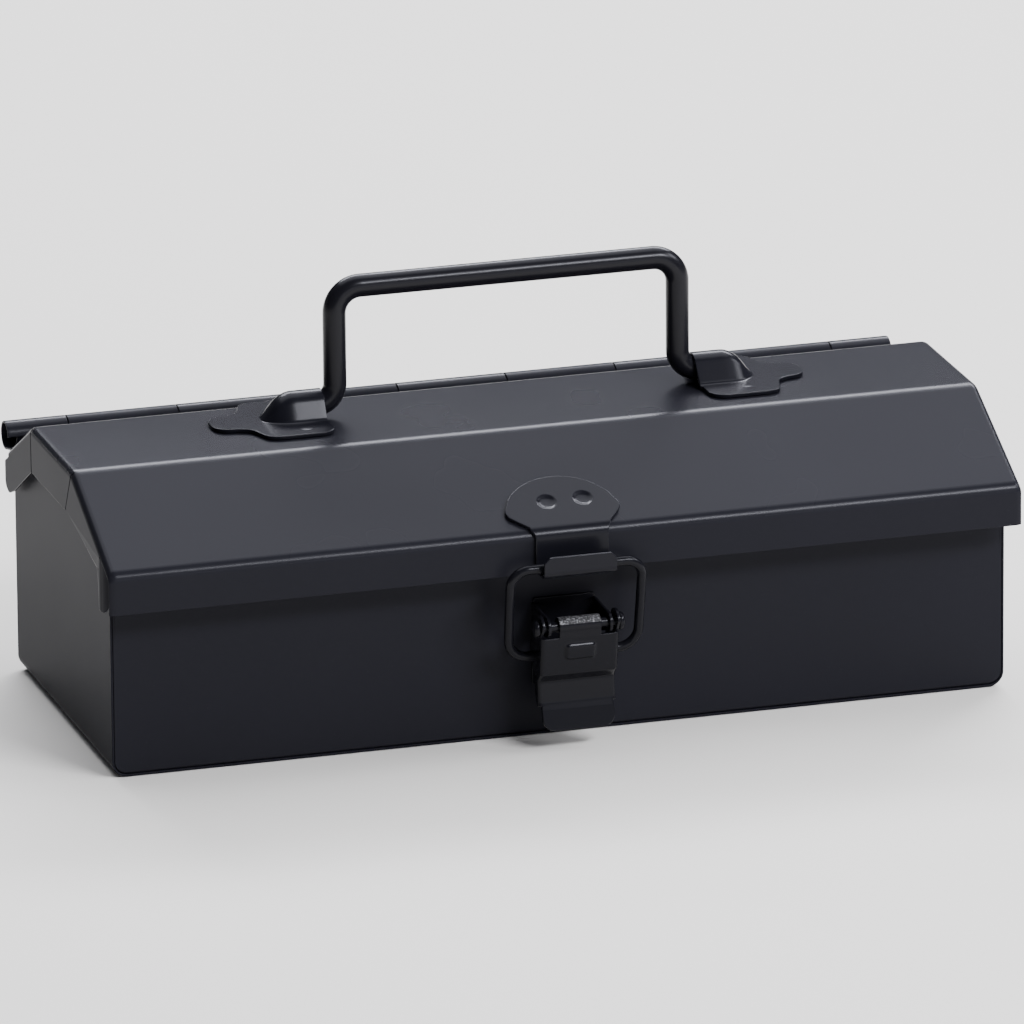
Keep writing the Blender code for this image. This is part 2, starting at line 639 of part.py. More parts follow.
place(body_wrap(), body_base, black("body_wrap_paint"))
place(body_front_panel(), body_base, black("front_panel_paint"))
place(body_back_panel(), body_base, black("back_panel_paint"))
place(hinge_pin(), body_base, material("pin_steel", (0.35, 0.35, 0.36), 0.35, 1.0))
place(tray_rest("tray_rest_left", -1), body_base, black("rest_left_paint"))
place(tray_rest("tray_rest_right", 1), body_base, black("rest_right_paint"))
place(latch_base(), body_base, black("latch_base_paint"))
place(latch_pin(), body_base, black("latch_pin_paint"))
place(latch_rivet("latch_rivet_lower", 25.0), body_base, black("rivet_lower_paint"))
place(latch_rivet("latch_rivet_upper", 35.5), body_base, black("rivet_upper_paint"))
place(lid_shell(), lid_pivot, black("lid_paint"))
place(handle_bracket("handle_bracket_left", -1), lid_pivot, black("bracket_left_paint"))
place(handle_bracket("handle_bracket_right", 1), lid_pivot, black("bracket_right_paint"))
place(catch_plate(), lid_pivot, black("catch_paint"))
place(handle_bar(), handle_pivot, black("handle_paint"))
place(latch_lever(), lever_pivot, black("lever_paint"))
place(bail_wire(), bail_pivot, black("bail_paint"))
place(tray_pan(), tray_base, black("tray_paint"))
place(tray_divider("tray_divider_left", -DIVIDER_X), tray_base, black("divider_left_paint"))
place(tray_divider("tray_divider_right", DIVIDER_X), tray_base, black("divider_right_paint"))
place(tray_handle(), tray_base, black("tray_handle_paint"))
place(tray_rivet("tray_rivet_front", -1), tray_base, material("rivet_front", (0.5, 0.5, 0.5), 0.35, 1.0))
place(tray_rivet("tray_rivet_back", 1), tray_base, material("rivet_back", (0.5, 0.5, 0.5), 0.35, 1.0))
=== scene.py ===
"""Looks of the toolbox with tray: fine sheet-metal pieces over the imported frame, satin blue-black
paint, a pale floor, soft studio light and the camera. Lengths are millimetres until MM is applied.
"""
from math import acos, atan2, cos, degrees, hypot, pi, radians, sin, sqrt

import bmesh
import bpy
from mathutils import Matrix, Vector

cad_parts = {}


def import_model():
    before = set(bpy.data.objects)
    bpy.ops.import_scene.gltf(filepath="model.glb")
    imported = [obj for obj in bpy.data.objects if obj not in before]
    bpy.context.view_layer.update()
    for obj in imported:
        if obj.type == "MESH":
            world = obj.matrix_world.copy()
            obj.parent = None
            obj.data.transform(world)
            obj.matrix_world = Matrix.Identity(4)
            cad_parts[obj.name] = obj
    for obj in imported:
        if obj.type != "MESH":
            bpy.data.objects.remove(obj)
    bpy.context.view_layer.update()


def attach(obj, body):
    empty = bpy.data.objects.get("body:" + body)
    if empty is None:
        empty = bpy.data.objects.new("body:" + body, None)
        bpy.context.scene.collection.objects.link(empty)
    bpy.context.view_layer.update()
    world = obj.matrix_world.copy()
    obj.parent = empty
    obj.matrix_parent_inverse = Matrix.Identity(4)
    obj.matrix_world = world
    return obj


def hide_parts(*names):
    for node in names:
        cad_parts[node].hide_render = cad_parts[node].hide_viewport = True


MM = 0.001
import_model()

# ---------------------------------------------------------------- the CAD's driving dimensions
SHEET, PLATE, GAP = 0.8, 1.2, 0.3
BODY_X, BODY_Y, BODY_BEND = 176.2, 68.5, 5.9
FRONT_TOP, BACK_TOP = 80.0, 85.5
PANEL_FLANGE = 4.0
LID_X, LID_FRONT = 179.5, -80.0
SKIRT_BOTTOM, SKIRT_TOP = 67.4, 83.2
TOP_FRONT, TOP_BACK, TOP_Z = -27.2, 31.9, 108.3
BACK_SLOPE = 20.6 / 37.1
SLOPE_END = 66.5
HINGE_Y, HINGE_Z = 76.5, 91.5
ROLL_INNER = 4.7
KNUCKLES, HINGE_X, KNUCKLE_PITCH, KNUCKLE_GAP = 9, 177.8, 43.84, 0.25
PIN_TUBE_OUTER, PIN_TUBE_WALL, PIN_TUBE_X = 4.35, 0.9, 174.0
HANDLE_X, HANDLE_Y, HANDLE_Z = 2.2, 8.0, 113.7
ROD, GRIP_Z, LEG_X, ROD_END = 4.45, 159.4, 68.1, 84.0
GRIP_BEND, FOOT_BEND = 10.0, 8.0
LATCH_X, CATCH_HALF = 0.5, 14.3
LIP_OUT, LIP_TOP, TROUGH_Z = -91.0, 77.2, 69.6
LEVER_PIN_Y, LEVER_PIN_Z = -88.0, 48.5
LEVER_HALF, PIN_R, PIN_HEAD_R, EAR_HALF = 15.35, 2.0, 3.4, 12.7
BAIL_Y, BAIL_Z, BAIL_LENGTH, BAIL_LEAN = -79.5, 35.0, 37.3, radians(11.5)
BAIL_HALF, WIRE = 25.95, 1.85
TRAY_X, TRAY_Y, TRAY_Z, TRAY_HEIGHT, TRAY_CORNER = 169.0, 58.5, 42.3, 33.0, 8.0
DIVIDER_X = 78.0
RIVET_HOLE, HEAD_GAP = 1.7, 0.15        # a rivet's hole, and the gap under its head


# ---------------------------------------------------------------- drawing helpers
def arc(centre, radius, start, end, steps):
    """Points on a circle in a flat pair of coordinates, angles in degrees."""
    turns = [radians(start + (end - start) * i / steps) for i in range(steps + 1)]
    return [(centre[0] + radius * cos(a), centre[1] + radius * sin(a)) for a in turns]


def fillet(before, corner, after, radius, steps):
    """The arc that rounds a corner between two straight runs."""
    p, q, r = Vector(before), Vector(corner), Vector(after)
    to_p, to_r = (p - q).normalized(), (r - q).normalized()
    half = to_p.angle(to_r) / 2
    reach = radius / sin(half) * cos(half)
    middle = q + (to_p + to_r).normalized() * radius / sin(half)
    first, last = q + to_p * reach - middle, q + to_r * reach - middle
    return [tuple(middle + first.slerp(last, i / steps).normalized() * radius)
            for i in range(steps + 1)]


def outline_of(points, radii, steps=6):
    """A closed outline whose corners are rounded by the radii given."""
    made = []
    count = len(points)
    for i, (point, radius) in enumerate(zip(points, radii)):
        if radius:
            made += fillet(points[i - 1], point, points[(i + 1) % count], radius, steps)
        else:
            made.append(tuple(point))
    return made


def path_of(points, radii, steps=6):
    """An open path whose inner corners are rounded by the radii given."""
    made = [tuple(points[0])]
    for before, corner, after, radius in zip(points, points[1:], points[2:], radii):
        made += fillet(before, corner, after, radius, steps) if radius else [tuple(corner)]
    return made + [tuple(points[-1])]


def normals_of(path):
    """The left-hand normal at each point of a flat path."""
    made = []
    for i in range(len(path)):
        a, b = Vector(path[max(i - 1, 0)]), Vector(path[min(i + 1, len(path) - 1)])
        if 0 < i < len(path) - 1:
            run_in, run_out = Vector(path[i]) - a, b - Vector(path[i])
            # beside a long straight run the run's own direction counts, so flat faces stay flat
            if run_in.length > 4 * run_out.length:
                along = run_in
            elif run_out.length > 4 * run_in.length:
                along = run_out
            else:
                along = run_in.normalized() + run_out.normalized()
        else:
            along = b - a
        along.normalize()
        made.append((-along.y, along.x))
    return made


def smoothstep(t):
    """A soft ramp from 0 at t = 0 to 1 at t = 1."""
    t = min(max(t, 0.0), 1.0)
    return t * t * (3 - 2 * t)


def spread(low, high, count):
    """Evenly spaced values from low to high, both included."""
    return [low + (high - low) * i / count for i in range(count + 1)]


def full_turn(count):
    """Evenly spaced angles once round a circle."""
    return [2 * pi * k / count for k in range(count)]


def quarter_turn(count):
    """Evenly spaced angles from 0 to 90 degrees, both included."""
    return [radians(90 * k / count) for k in range(count + 1)]


class Sheet:
    """An open sheet made face by face from named corners; equal corners are one vertex."""

    def __init__(self):
        self.mesh = bmesh.new()
        self.corners = {}

    def corner(self, point):
        key = tuple(round(value, 4) for value in point)
        if key not in self.corners:
            self.corners[key] = self.mesh.verts.new(Vector(point) * MM)
        return self.corners[key]

    def face(self, points):
        corners = []
        for point in points:
            vert = self.corner(point)
            if vert not in corners:
                corners.append(vert)
        if len(corners) > 2 and not self.mesh.faces.get(corners):
            self.mesh.faces.new(corners)

    def strip(self, first, second):
        for a, b, c, d in zip(first, first[1:], second[1:], second):
            self.face([a, b, c, d])

    def loft(self, lines):
        for first, second in zip(lines, lines[1:]):
            self.strip(first, second)

    def region(self, loops):
        """Fills the space between a flat outline and its holes."""
        edges = []
        for loop in loops:
            verts = [self.corner(point) for point in loop]
            for a, b in zip(verts, verts[1:] + verts[:1]):
                if a != b:
                    edges.append(self.mesh.edges.get((a, b)) or self.mesh.edges.new((a, b)))
        bmesh.ops.triangle_fill(self.mesh, use_beauty=True, use_dissolve=False, edges=edges)

    def finish(self, name, thickness, outward, even=True):
        """Gives the sheet its thickness, away from the point that its first face looks towards."""
        bmesh.ops.recalc_face_normals(self.mesh, faces=self.mesh.faces[:])
        self.mesh.faces.ensure_lookup_table()
        first = self.mesh.faces[0]
        if first.normal.dot(Vector(outward) * MM - first.calc_center_median()) < 0:
            bmesh.ops.reverse_faces(self.mesh, faces=self.mesh.faces[:])
        obj = object_of(name, self.mesh)
        shell = obj.modifiers.new("Sheet", "SOLIDIFY")
        shell.thickness = thickness * MM
        shell.offset = -1.0
        shell.use_even_offset = even
        return obj


def link(obj):
    """Puts an object into the scene."""
    bpy.context.scene.collection.objects.link(obj)
    return obj


def object_of(name, mesh):
    """Turns a finished bmesh into an object of the scene."""
    data = bpy.data.meshes.new(name)
    mesh.to_mesh(data)
    mesh.free()
    return link(bpy.data.objects.new(name, data))


def drill(obj, centre, axis, radius, length):
    """Takes a round hole out of a piece."""
    bpy.ops.mesh.primitive_cylinder_add(vertices=40, radius=radius * MM, depth=length * MM,
                                        location=Vector(centre) * MM)
    cutter = bpy.context.object
    cutter.rotation_mode = "QUATERNION"
    cutter.rotation_quaternion = Vector(axis).to_track_quat("Z", "Y")
    hole = obj.modifiers.new("Hole", "BOOLEAN")
    hole.solver = "EXACT"
    hole.object = cutter
    bpy.context.view_layer.update()
    bake(obj)
    bpy.data.objects.remove(cutter, do_unlink=True)


def bake(obj):
    """Applies a piece's modifiers."""
    graph = bpy.context.evaluated_depsgraph_get()
    mesh = bpy.data.meshes.new_from_object(obj.evaluated_get(graph))
    old = obj.data
    obj.modifiers.clear()
    obj.data = mesh
    mesh.name = obj.name
    bpy.data.meshes.remove(old)


def soften(obj, edge=0.2, limit=42.0, segments=2):
    """Breaks the sharp edges with a small round and gives flat faces flat shading."""
    if edge:
        bevel = obj.modifiers.new("Edge", "BEVEL")
        bevel.width = edge * MM
        bevel.segments = segments
        bevel.limit_method = "ANGLE"
        bevel.angle_limit = radians(limit)
        bevel.use_clamp_overlap = False
        bevel.miter_outer = "MITER_ARC"
    bake(obj)
    obj.data.shade_smooth()
    obj.data.set_sharp_from_angle(angle=radians(50.0))
    weighted = obj.modifiers.new("Normals", "WEIGHTED_NORMAL")
    weighted.keep_sharp = True
    weighted.weight = 60
    bake(obj)
    return obj


def rod(name, path, radius, sides=36, end_round=0.8):
    """A round bar along a path in space, its ends slightly rounded."""
    points = [Vector(p) for p in path]
    tangents = []
    for i in range(len(points)):
        ahead, behind = points[min(i + 1, len(points) - 1)], points[max(i - 1, 0)]
        tangents.append((ahead - behind).normalized())
    across = tangents[0].orthogonal().normalized()
    mesh = bmesh.new()
    rings = []
    for point, along in zip(points, tangents):
        across = (across - along * across.dot(along)).normalized()
        up = along.cross(across)
        rings.append([mesh.verts.new((point + (across * cos(a) + up * sin(a)) * radius) * MM)
                      for a in full_turn(sides)])
    for a, b in zip(rings, rings[1:]):
        for k in range(sides):
            mesh.faces.new((a[k], a[(k + 1) % sides], b[(k + 1) % sides], b[k]))
    mesh.faces.new(rings[0][::-1])
    mesh.faces.new(rings[-1])
    bmesh.ops.recalc_face_normals(mesh, faces=mesh.faces[:])
    return soften(object_of(name, mesh), edge=end_round, limit=60, segments=4)


def turned(name, profile, centre, axis, steps=48, ring=False, edge=0.15):
    """A solid of revolution from (radius, height) points along an axis through a centre."""
    mesh = bmesh.new()
    axis = Vector(axis)
    across = axis.orthogonal().normalized()
    up = axis.cross(across)
    lines = []
    for radius, height in profile:
        middle = Vector(centre) + axis * height
        if radius < 1e-6:
            lines.append([mesh.verts.new(middle * MM)])
        else:
            lines.append([mesh.verts.new((middle + (across * cos(a) + up * sin(a)) * radius) * MM)
                          for a in full_turn(steps)])
    pairs = list(zip(lines, lines[1:])) + ([(lines[-1], lines[0])] if ring else [])
    for a, b in pairs:
        for k in range(steps):
            n = (k + 1) % steps
            corners = [a[k % len(a)], a[n % len(a)], b[n % len(b)], b[k % len(b)]]
            mesh.faces.new(list(dict.fromkeys(corners)))
    bmesh.ops.recalc_face_normals(mesh, faces=mesh.faces[:])
    return soften(object_of(name, mesh), edge=edge, limit=55)


def join(main, *others):
    """Makes one piece of several."""
    bpy.ops.object.select_all(action="DESELECT")
    for obj in (main, *others):
        obj.select_set(True)
    bpy.context.view_layer.objects.active = main
    bpy.ops.object.join()
    return main


# ---------------------------------------------------------------- paint
def paint(name, colour, roughness, specular=0.5, peel=0.008, grain=0.0, painted_glint=0.0):
    """Satin stoving paint: faint orange peel, slow changes of gloss and tone, fine dust, and where a
    glint amount is given, dense pale flecks that are painted highlights on grain.
    """
    made = bpy.data.materials.new(name)
    made.use_nodes = True
    tree = made.node_tree
    shader = tree.nodes["Principled BSDF"]
    shader.inputs["Metallic"].default_value = 0.0
    shader.inputs["Specular IOR Level"].default_value = specular
    place = tree.nodes.new("ShaderNodeTexCoord")

    def noise(scale, detail, rough=0.5):
        node = tree.nodes.new("ShaderNodeTexNoise")
        node.inputs["Scale"].default_value = scale
        node.inputs["Detail"].default_value = detail
        node.inputs["Roughness"].default_value = rough
        tree.links.new(place.outputs["Object"], node.inputs["Vector"])
        return node

    def ramp(source, low, high, to_low, to_high):
        node = tree.nodes.new("ShaderNodeMapRange")
        node.inputs["From Min"].default_value = low
        node.inputs["From Max"].default_value = high
        node.inputs["To Min"].default_value = to_low
        node.inputs["To Max"].default_value = to_high
        tree.links.new(source, node.inputs["Value"])
        return node

    # tone: slow cloudiness, and sparse pale specks of dust in the paint; with a glint amount, dense
    # brighter flecks instead, painted highlights of light caught on grain
    cloud = noise(9.0, 2.0)
    tone = tree.nodes.new("ShaderNodeMix")
    tone.data_type = "RGBA"
    tone.inputs["A"].default_value = (*[c * 0.95 for c in colour], 1.0)
    tone.inputs["B"].default_value = (*[c * 1.06 for c in colour], 1.0)
    tree.links.new(ramp(cloud.outputs["Fac"], 0.1, 0.9, 0.0, 1.0).outputs["Result"],
                   tone.inputs["Factor"])
    dust_and_glint_scale, dust_and_glint_from, dust_and_glint_full, dust_and_glint_cover = ((1500.0, 0.52, 0.60, 0.8) if painted_glint
                                                    else (900.0, 0.70, 0.80, 0.4))
    dust_and_glint_noise = noise(dust_and_glint_scale, 2.0)
    speck = tree.nodes.new("ShaderNodeMix")
    speck.data_type = "RGBA"
    speck.inputs["B"].default_value = (*[c * 1.6 + 0.004 + painted_glint for c in colour], 1.0)
    tree.links.new(tone.outputs["Result"], speck.inputs["A"])
    cover = ramp(dust_and_glint_noise.outputs["Fac"], dust_and_glint_from, dust_and_glint_full, 0.0, dust_and_glint_cover)
    tree.links.new(cover.outputs["Result"], speck.inputs["Factor"])
    tree.links.new(speck.outputs["Result"], shader.inputs["Base Color"])

    # gloss: slow patches
    patches = noise(20.0, 2.0)
    gloss = ramp(patches.outputs["Fac"], 0.1, 0.9, roughness - 0.015, roughness + 0.015)
    tree.links.new(gloss.outputs["Result"], shader.inputs["Roughness"])

    # surface: orange peel in waves under 2 mm, and a fine sharp grain where asked
    waves = noise(620.0, 2.0, 0.45)
    bump = tree.nodes.new("ShaderNodeBump")
    bump.inputs["Strength"].default_value = 0.35
    bump.inputs["Distance"].default_value = peel * MM
    tree.links.new(waves.outputs["Fac"], bump.inputs["Height"])
    last = bump
    if grain:
        rough = noise(2400.0, 3.0, 0.7)
        last = tree.nodes.new("ShaderNodeBump")
        last.inputs["Strength"].default_value = 1.0
        last.inputs["Distance"].default_value = grain * MM
        tree.links.new(rough.outputs["Fac"], last.inputs["Height"])
        tree.links.new(bump.outputs["Normal"], last.inputs["Normal"])
    tree.links.new(last.outputs["Normal"], shader.inputs["Normal"])
    return made


# one stoving paint, mixed a little glossier or duller for each pressing
SHEET_COLOUR = (0.0120, 0.0120, 0.0155)
body_paint = paint("satin_paint_body", SHEET_COLOUR, 0.36, 0.06)
wrap_paint = paint("satin_paint_wrap", SHEET_COLOUR, 0.40, 0.022)
lid_paint = paint("satin_paint_lid", SHEET_COLOUR, 0.27, 0.11)
tray_paint = paint("satin_paint_tray", SHEET_COLOUR, 0.42, 0.2)
fitting_paint = paint("satin_paint_fittings", (0.0072, 0.0072, 0.0100), 0.25, 0.13)
handle_paint = paint("satin_paint_handle", (0.0068, 0.0066, 0.0088), 0.25, 0.17)
latch_paint = paint("satin_paint_latch", (0.0060, 0.0060, 0.0078), 0.22, 0.12)
# the grained thumb pad: its bumps are real grain, while the lighter base and dense pale flecks paint
# in the highlight that light makes on that grain
grain_and_glint_paint = paint("grained_paint_latch_with_painted_glints", (0.012, 0.012, 0.012), 0.30, 0.4, grain=0.3, painted_glint=0.22)


def settle(obj, body, nodes, material):
    """Dresses a finished piece, hands it to its body and hides the CAD nodes it stands for."""
    if not obj.data.materials:
        obj.data.materials.append(material)
    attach(obj, body)
    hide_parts(*nodes)
    return obj


# ---------------------------------------------------------------- hinge
def knuckle_spans(owner):
    """Start and end of each hinge knuckle that the lid (0) or the body (1) owns."""
    inner = KNUCKLE_PITCH * (KNUCKLES - 2) / 2
    ends = [-HINGE_X] + [-inner + KNUCKLE_PITCH * i for i in range(KNUCKLES - 1)] + [HINGE_X]
    spans = []
    for index in range(owner, KNUCKLES, 2):
        low = ends[index] + (KNUCKLE_GAP if index else 0.0)
        high = ends[index + 1] - (KNUCKLE_GAP if index < KNUCKLES - 1 else 0.0)
        spans.append((low, high))
    return spans


def tangent_angle(y, z, radius, side):
    """Direction in degrees from the hinge centre to where a line from (y, z) touches a circle."""
    away_y, away_z = y - HINGE_Y, z - HINGE_Z
    return degrees(atan2(away_z, away_y) + side * acos(radius / hypot(away_y, away_z)))


# ---------------------------------------------------------------- body
def body_wrap():
    """Bottom and both gable ends, bent from one sheet."""
    under_lid = 1.5 + SHEET                 # from the lid's top down to the gable's edge
    gable = [(-BODY_Y, FRONT_TOP + 1.0), (TOP_FRONT + 1.0, TOP_Z - under_lid),
             (TOP_BACK - 1.0, TOP_Z - under_lid),
             (SLOPE_END - 2.0, TOP_Z - under_lid - BACK_SLOPE * (SLOPE_END - TOP_BACK - 1.0)),
             (BODY_Y, BACK_TOP + 0.6)]
    sheet = Sheet()
    for side in (-1, 1):
        bend = [(side * x, z) for x, z in arc((BODY_X - BODY_BEND, BODY_BEND), BODY_BEND,
                                              -90, 0, 14)]
        sheet.strip([(x, -BODY_Y, z) for x, z in bend], [(x, BODY_Y, z) for x, z in bend])
        sheet.face([(side * BODY_X, -BODY_Y, BODY_BEND)]
                   + [(side * BODY_X, y, z) for y, z in gable]
                   + [(side * BODY_X, BODY_Y, BODY_BEND)])
    flat = BODY_X - BODY_BEND
    sheet.face([(-flat, -BODY_Y, 0), (flat, -BODY_Y, 0), (flat, BODY_Y, 0), (-flat, BODY_Y, 0)])
    wrap = sheet.finish("body_sheet", SHEET, (-BODY_X - 50, 0, -20))
    return settle(soften(wrap, 0.2), "body", ["body_wrap"], wrap_paint)


def panel_rim(inset, foot, top):
    """The panel's outline in X and Z, drawn in by an inset at the sides and another at the foot."""
    seam = 0.12                             # the dark line round the panel
    half, low = BODY_X - SHEET - seam, SHEET + seam
    bend = BODY_BEND - SHEET - seam
    rim = []
    for side in (-1, 1):
        corner = [(side * (half - bend + (bend - inset) * cos(a)),
                   low + bend - (bend - foot) * sin(a)) for a in quarter_turn(10)]
        rim += corner if side < 0 else corner[::-1]
    return [(inset - half, top)] + rim + [(half - inset, top)]


def folded_panel(name, node, side, top, extra=None):
    """A panel with its sides and bottom folded inwards over a small radius."""
    sheet = Sheet()
    fold, foot = 0.35, 1.3                  # how far the folds reach in, at the sides and the foot
    foot_low, foot_high = 1.0, 9.0          # heights between which the one turns into the other
    face = side * BODY_Y
    flat = panel_rim(fold, foot, top)
    stops = [x for span in knuckle_spans(1) for x in span]
    head = [(x, top) for x in (stops[::-1] if extra else [])]
    sheet.face([(x, face, z) for x, z in flat + head])
    rows = []
    for turn in quarter_turn(6):
        rim = panel_rim(fold * (1 - sin(turn)), foot * (1 - sin(turn)), top)
        depths = [fold + (foot - fold) * smoothstep((foot_high - z) / (foot_high - foot_low))
                  for x, z in rim]
        rows.append([(x, face - side * depth * (1 - cos(turn)), z)
                     for (x, z), depth in zip(rim, depths)])
    rows.append([(x, face - side * PANEL_FLANGE, z) for x, z in panel_rim(0.0, 0.0, top)])
    sheet.loft(rows)
    if extra:
        extra(sheet)
    panel = sheet.finish(name, SHEET, (0, side * (BODY_Y + 500), 40), even=False)
    return settle(soften(panel, 0.05), "body", [node], body_paint)


def body_rolls(sheet):
    """The knuckles that the back panel rolls round the hinge pin."""
    touch = tangent_angle(BODY_Y, BACK_TOP, ROLL_INNER, -1)
    roll = [(BODY_Y, BACK_TOP)] + arc((HINGE_Y, HINGE_Z), ROLL_INNER, touch % 360, -110, 40)
    for low, high in knuckle_spans(1):
        sheet.strip([(low, y, z) for y, z in roll], [(high, y, z) for y, z in roll])


def tray_rest(name, side):
    """An angle inside one end of the body, which the tray stands on."""
    deep, wide, half_length = 12, 14, 48
    wall = side * (BODY_X - SHEET - GAP)
    top = TRAY_Z - GAP
    line = path_of([(wall, top - deep), (wall, top), (wall - side * wide, top)], [1.6], 6)
    sheet = Sheet()
    sheet.strip([(x, -half_length, z) for x, z in line], [(x, half_length, z) for x, z in line])
    rest = sheet.finish(name + "_angle", SHEET, (wall + side * 10, 0, top - 5))
    return settle(soften(rest), "body", [name], body_paint)


def hinge_tube():
    """The hollow pin, open at both ends."""
    inner = PIN_TUBE_OUTER - PIN_TUBE_WALL
    tube = turned("hinge_tube", [(PIN_TUBE_OUTER, PIN_TUBE_X), (PIN_TUBE_OUTER, -PIN_TUBE_X),
                                 (inner, -PIN_TUBE_X), (inner, PIN_TUBE_X)],
                  (0, HINGE_Y, HINGE_Z), (1, 0, 0), ring=True)
    return settle(tube, "body", ["hinge_pin"], fitting_paint)


body_wrap()
folded_panel("front_panel_sheet", "body_front_panel", -1, FRONT_TOP)
folded_panel("back_panel_sheet", "body_back_panel", 1, BACK_TOP, body_rolls)
tray_rest("tray_rest_left", -1)
tray_rest("tray_rest_right", 1)
hinge_tube()


# ---------------------------------------------------------------- lid
END_BEND, END_STEPS = 3.0, 8            # the round between the lid's sheet and its end flaps
RELIEF_STEP = 3                         # where in that round the slits between the flaps begin
FOLD_END = -67.5                        # how far down the front slope the end fold reaches
FLAP_CORNER, FLAP_LEVEL = -62.9, 81.8   # where a front flap turns down into its tab


def tab(sheet, side, fold_y, top, climb):
    """The front tab of an end flap: it hangs down and curls round behind the skirt's edge."""
    radius, hidden = 8.5, 8.0           # of the curl, and its straight run behind the skirt
    foot, hidden_lift = 65.6, 3.0       # the tab's lower edge, which ends higher behind the skirt
    slant, slant_height = 2.6, 11.0     # the cut from the flap's corner down to that edge
    pull_in, pull_height = 0.55, 7.0    # how far the tab's rear edge leans in, and over what height
    stations = [(LID_X, FLAP_CORNER + (fold_y - FLAP_CORNER) * i / 4) for i in range(4)]
    stations += [(LID_X - radius * (1 - cos(turn)), fold_y - radius * sin(turn))
                 for turn in quarter_turn(12)]
    stations.append((LID_X - radius - hidden, fold_y - radius))
    lower, upper = [], []
    for index, (x, y) in enumerate(stations):
        along_slant = max(y - FLAP_CORNER + slant, 0.0) / slant
        low = foot + slant_height * along_slant ** 2 + hidden_lift * smoothstep((index - 7) / 3)
        behind = max(y - fold_y, 0.0) / (FLAP_CORNER - fold_y)
        row = []
        for k in range(9):
            z = low + (FLAP_LEVEL - low) * k / 8
            tuck = pull_in * behind ** 2 * smoothstep((FLAP_LEVEL - z) / pull_height)
            row.append((side * (x - tuck), y, z))
        lower.append(row)
        if y <= fold_y:
            upper.append([(side * x, y, FLAP_LEVEL), (side * x, y, top + climb * (y - fold_y))])
    sheet.loft(lower)
    sheet.loft(upper)


def end_fold(sheet, side, profile, normals, slope, ridges):
    """Rounds one end of the lid's sheet over, and gives the edge that the flaps hang from."""
    flat_x, skirt_roll = LID_X - END_BEND, 1.2
    turns = quarter_turn(END_STEPS)
    rows = []
    for turn in turns[:-1]:             # the free edge below the fold, a shallower roll on the skirt
        row = []
        for (y, z), (ny, nz) in list(zip(profile, normals))[:slope + 1]:
            roll = skirt_roll + (END_BEND - skirt_roll) * smoothstep(nz / 0.9)
            drop = roll * (1 - cos(turn))
            row.append((side * (flat_x + END_BEND * sin(turn)), y - drop * ny, z - drop * nz))
        rows.append(row)
    sheet.loft(rows)
    rings = []
    for turn in turns:
        x = side * (flat_x + END_BEND * sin(turn))
        drop = END_BEND * (1 - cos(turn))
        rings.append([(x, y - drop * ny, z - drop * nz)
                      for (y, z), (ny, nz) in zip(profile, normals)][slope:])
    for k, (near, far) in enumerate(zip(rings, rings[1:])):
        for i in range(len(near) - 1):
            slit = min(abs(slope + i + 0.5 - ridge) for ridge in ridges) < 1.0
            if not (slit and k >= RELIEF_STEP):
                sheet.face([near[i], near[i + 1], far[i + 1], far[i]])
    return [(y, z) for x, y, z in rings[-1]]


def end_flaps(sheet, side, edge, front_slit, back_slit):
    """The front, middle and back flap of one end, each hanging from its stretch of the edge."""
    fold_y, rear_y = edge[0][0], 70.1
    front = path_of([edge[front_slit - 1], (-18.9, 90.9), (FLAP_CORNER, FLAP_LEVEL),
                     (fold_y, FLAP_LEVEL), edge[0]], [0.5, 0, 0])
    rear = path_of([edge[back_slit + 1], (31.2, 90.2), (56.9, 75.2), (64.9, 71.9), (rear_y, 74.0),
                    (rear_y, edge[-1][1] - BACK_SLOPE * (rear_y - edge[-1][0])), edge[-1]],
                   [0.5, 5.0, 4.0, 3.5, 0.5])
    flaps = [edge[:front_slit] + front[1:-1],
             edge[front_slit + 1:back_slit] + [(30.2, 90.4), (-18.0, 90.4)],
             edge[back_slit + 1:] + rear[1:-1][::-1]]
    for flap in flaps:
        sheet.face([(side * LID_X, y, z) for y, z in flap])


